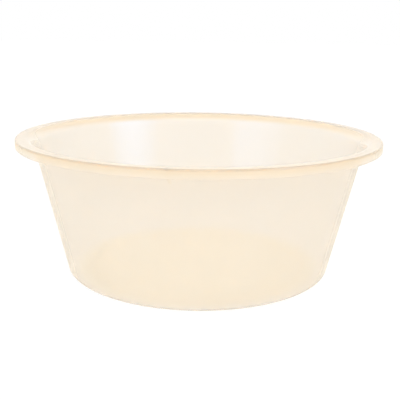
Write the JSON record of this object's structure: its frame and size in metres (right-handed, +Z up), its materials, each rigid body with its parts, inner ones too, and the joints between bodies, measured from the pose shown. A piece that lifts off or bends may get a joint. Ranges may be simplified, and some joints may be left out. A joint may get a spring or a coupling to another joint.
{
  "type": "baby bathtub",
  "caption": "Round, low baby bath basin in pale translucent plastic, with a sloping wall, a flat floor on a foot ring, and a wide flat rim with a turned-down lip.",
  "frame": {"origin": "centre of the standing plane, under the middle of the round floor", "axes": "+Z up along the axis of the round basin; the basin is round, and -Y is the side nearest the viewer"},
  "size_m": [0.3999, 0.4, 0.1535],
  "materials": {
    "tub_plastic": "natural cream translucent plastic with a soft moulded gloss; the back wall shows through the front"
  },
  "bodies": {
    "root": {"floor_disc": "tub_plastic", "foot_ring": "tub_plastic", "base_corner": "tub_plastic", "side_wall": "tub_plastic", "rim_flare": "tub_plastic", "rim_flange": "tub_plastic", "rim_lip": "tub_plastic", "rim_gussets": "tub_plastic"}
  },
  "joints": []
}
